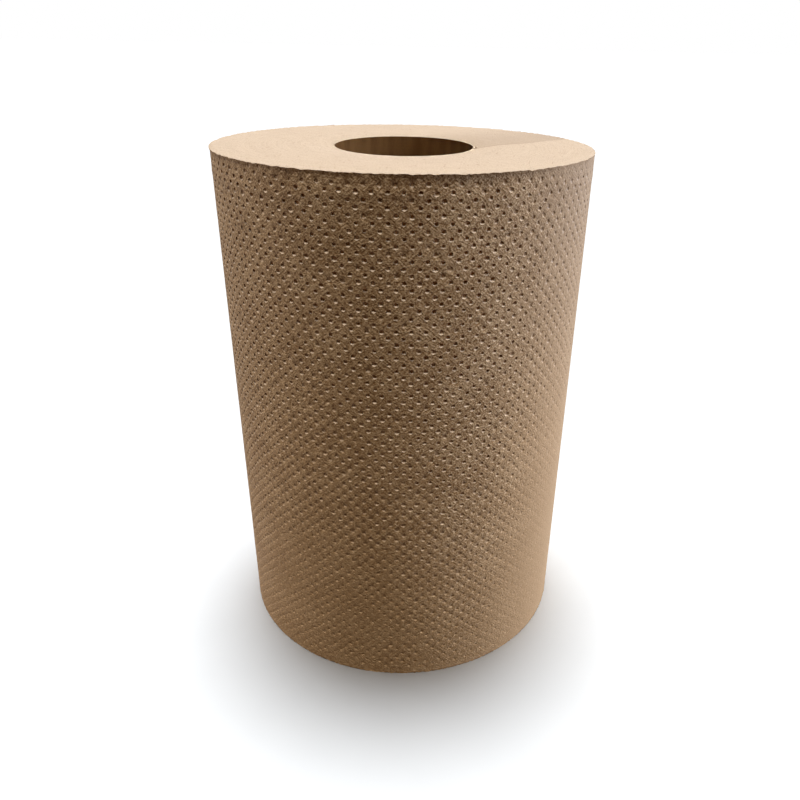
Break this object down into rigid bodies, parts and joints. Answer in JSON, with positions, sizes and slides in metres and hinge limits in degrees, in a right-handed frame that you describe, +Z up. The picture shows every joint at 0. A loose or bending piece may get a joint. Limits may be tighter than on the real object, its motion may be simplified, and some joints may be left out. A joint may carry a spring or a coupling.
{
  "type": "paper towel roll",
  "caption": "Upright roll of brown embossed paper towel, wound tightly on a cardboard core with an open bore, with flat sawn ends and a free outer end for pulling off.",
  "frame": {"origin": "centre of the lower sawn end, on the surface that the roll stands on", "axes": "+Z up along the core's axis; -Y towards the viewer of the picture; the free end of the web lies at the back, towards +Y and -X"},
  "size_m": [0.1414, 0.1412, 0.2],
  "materials": {
    "core_board": "smooth spiral-wound board, matte",
    "kraft_paper": "unbleached, dimple-embossed, matte"
  },
  "bodies": {
    "root": {"core_tube": "core_board", "towel_web": "kraft_paper"}
  },
  "joints": []
}
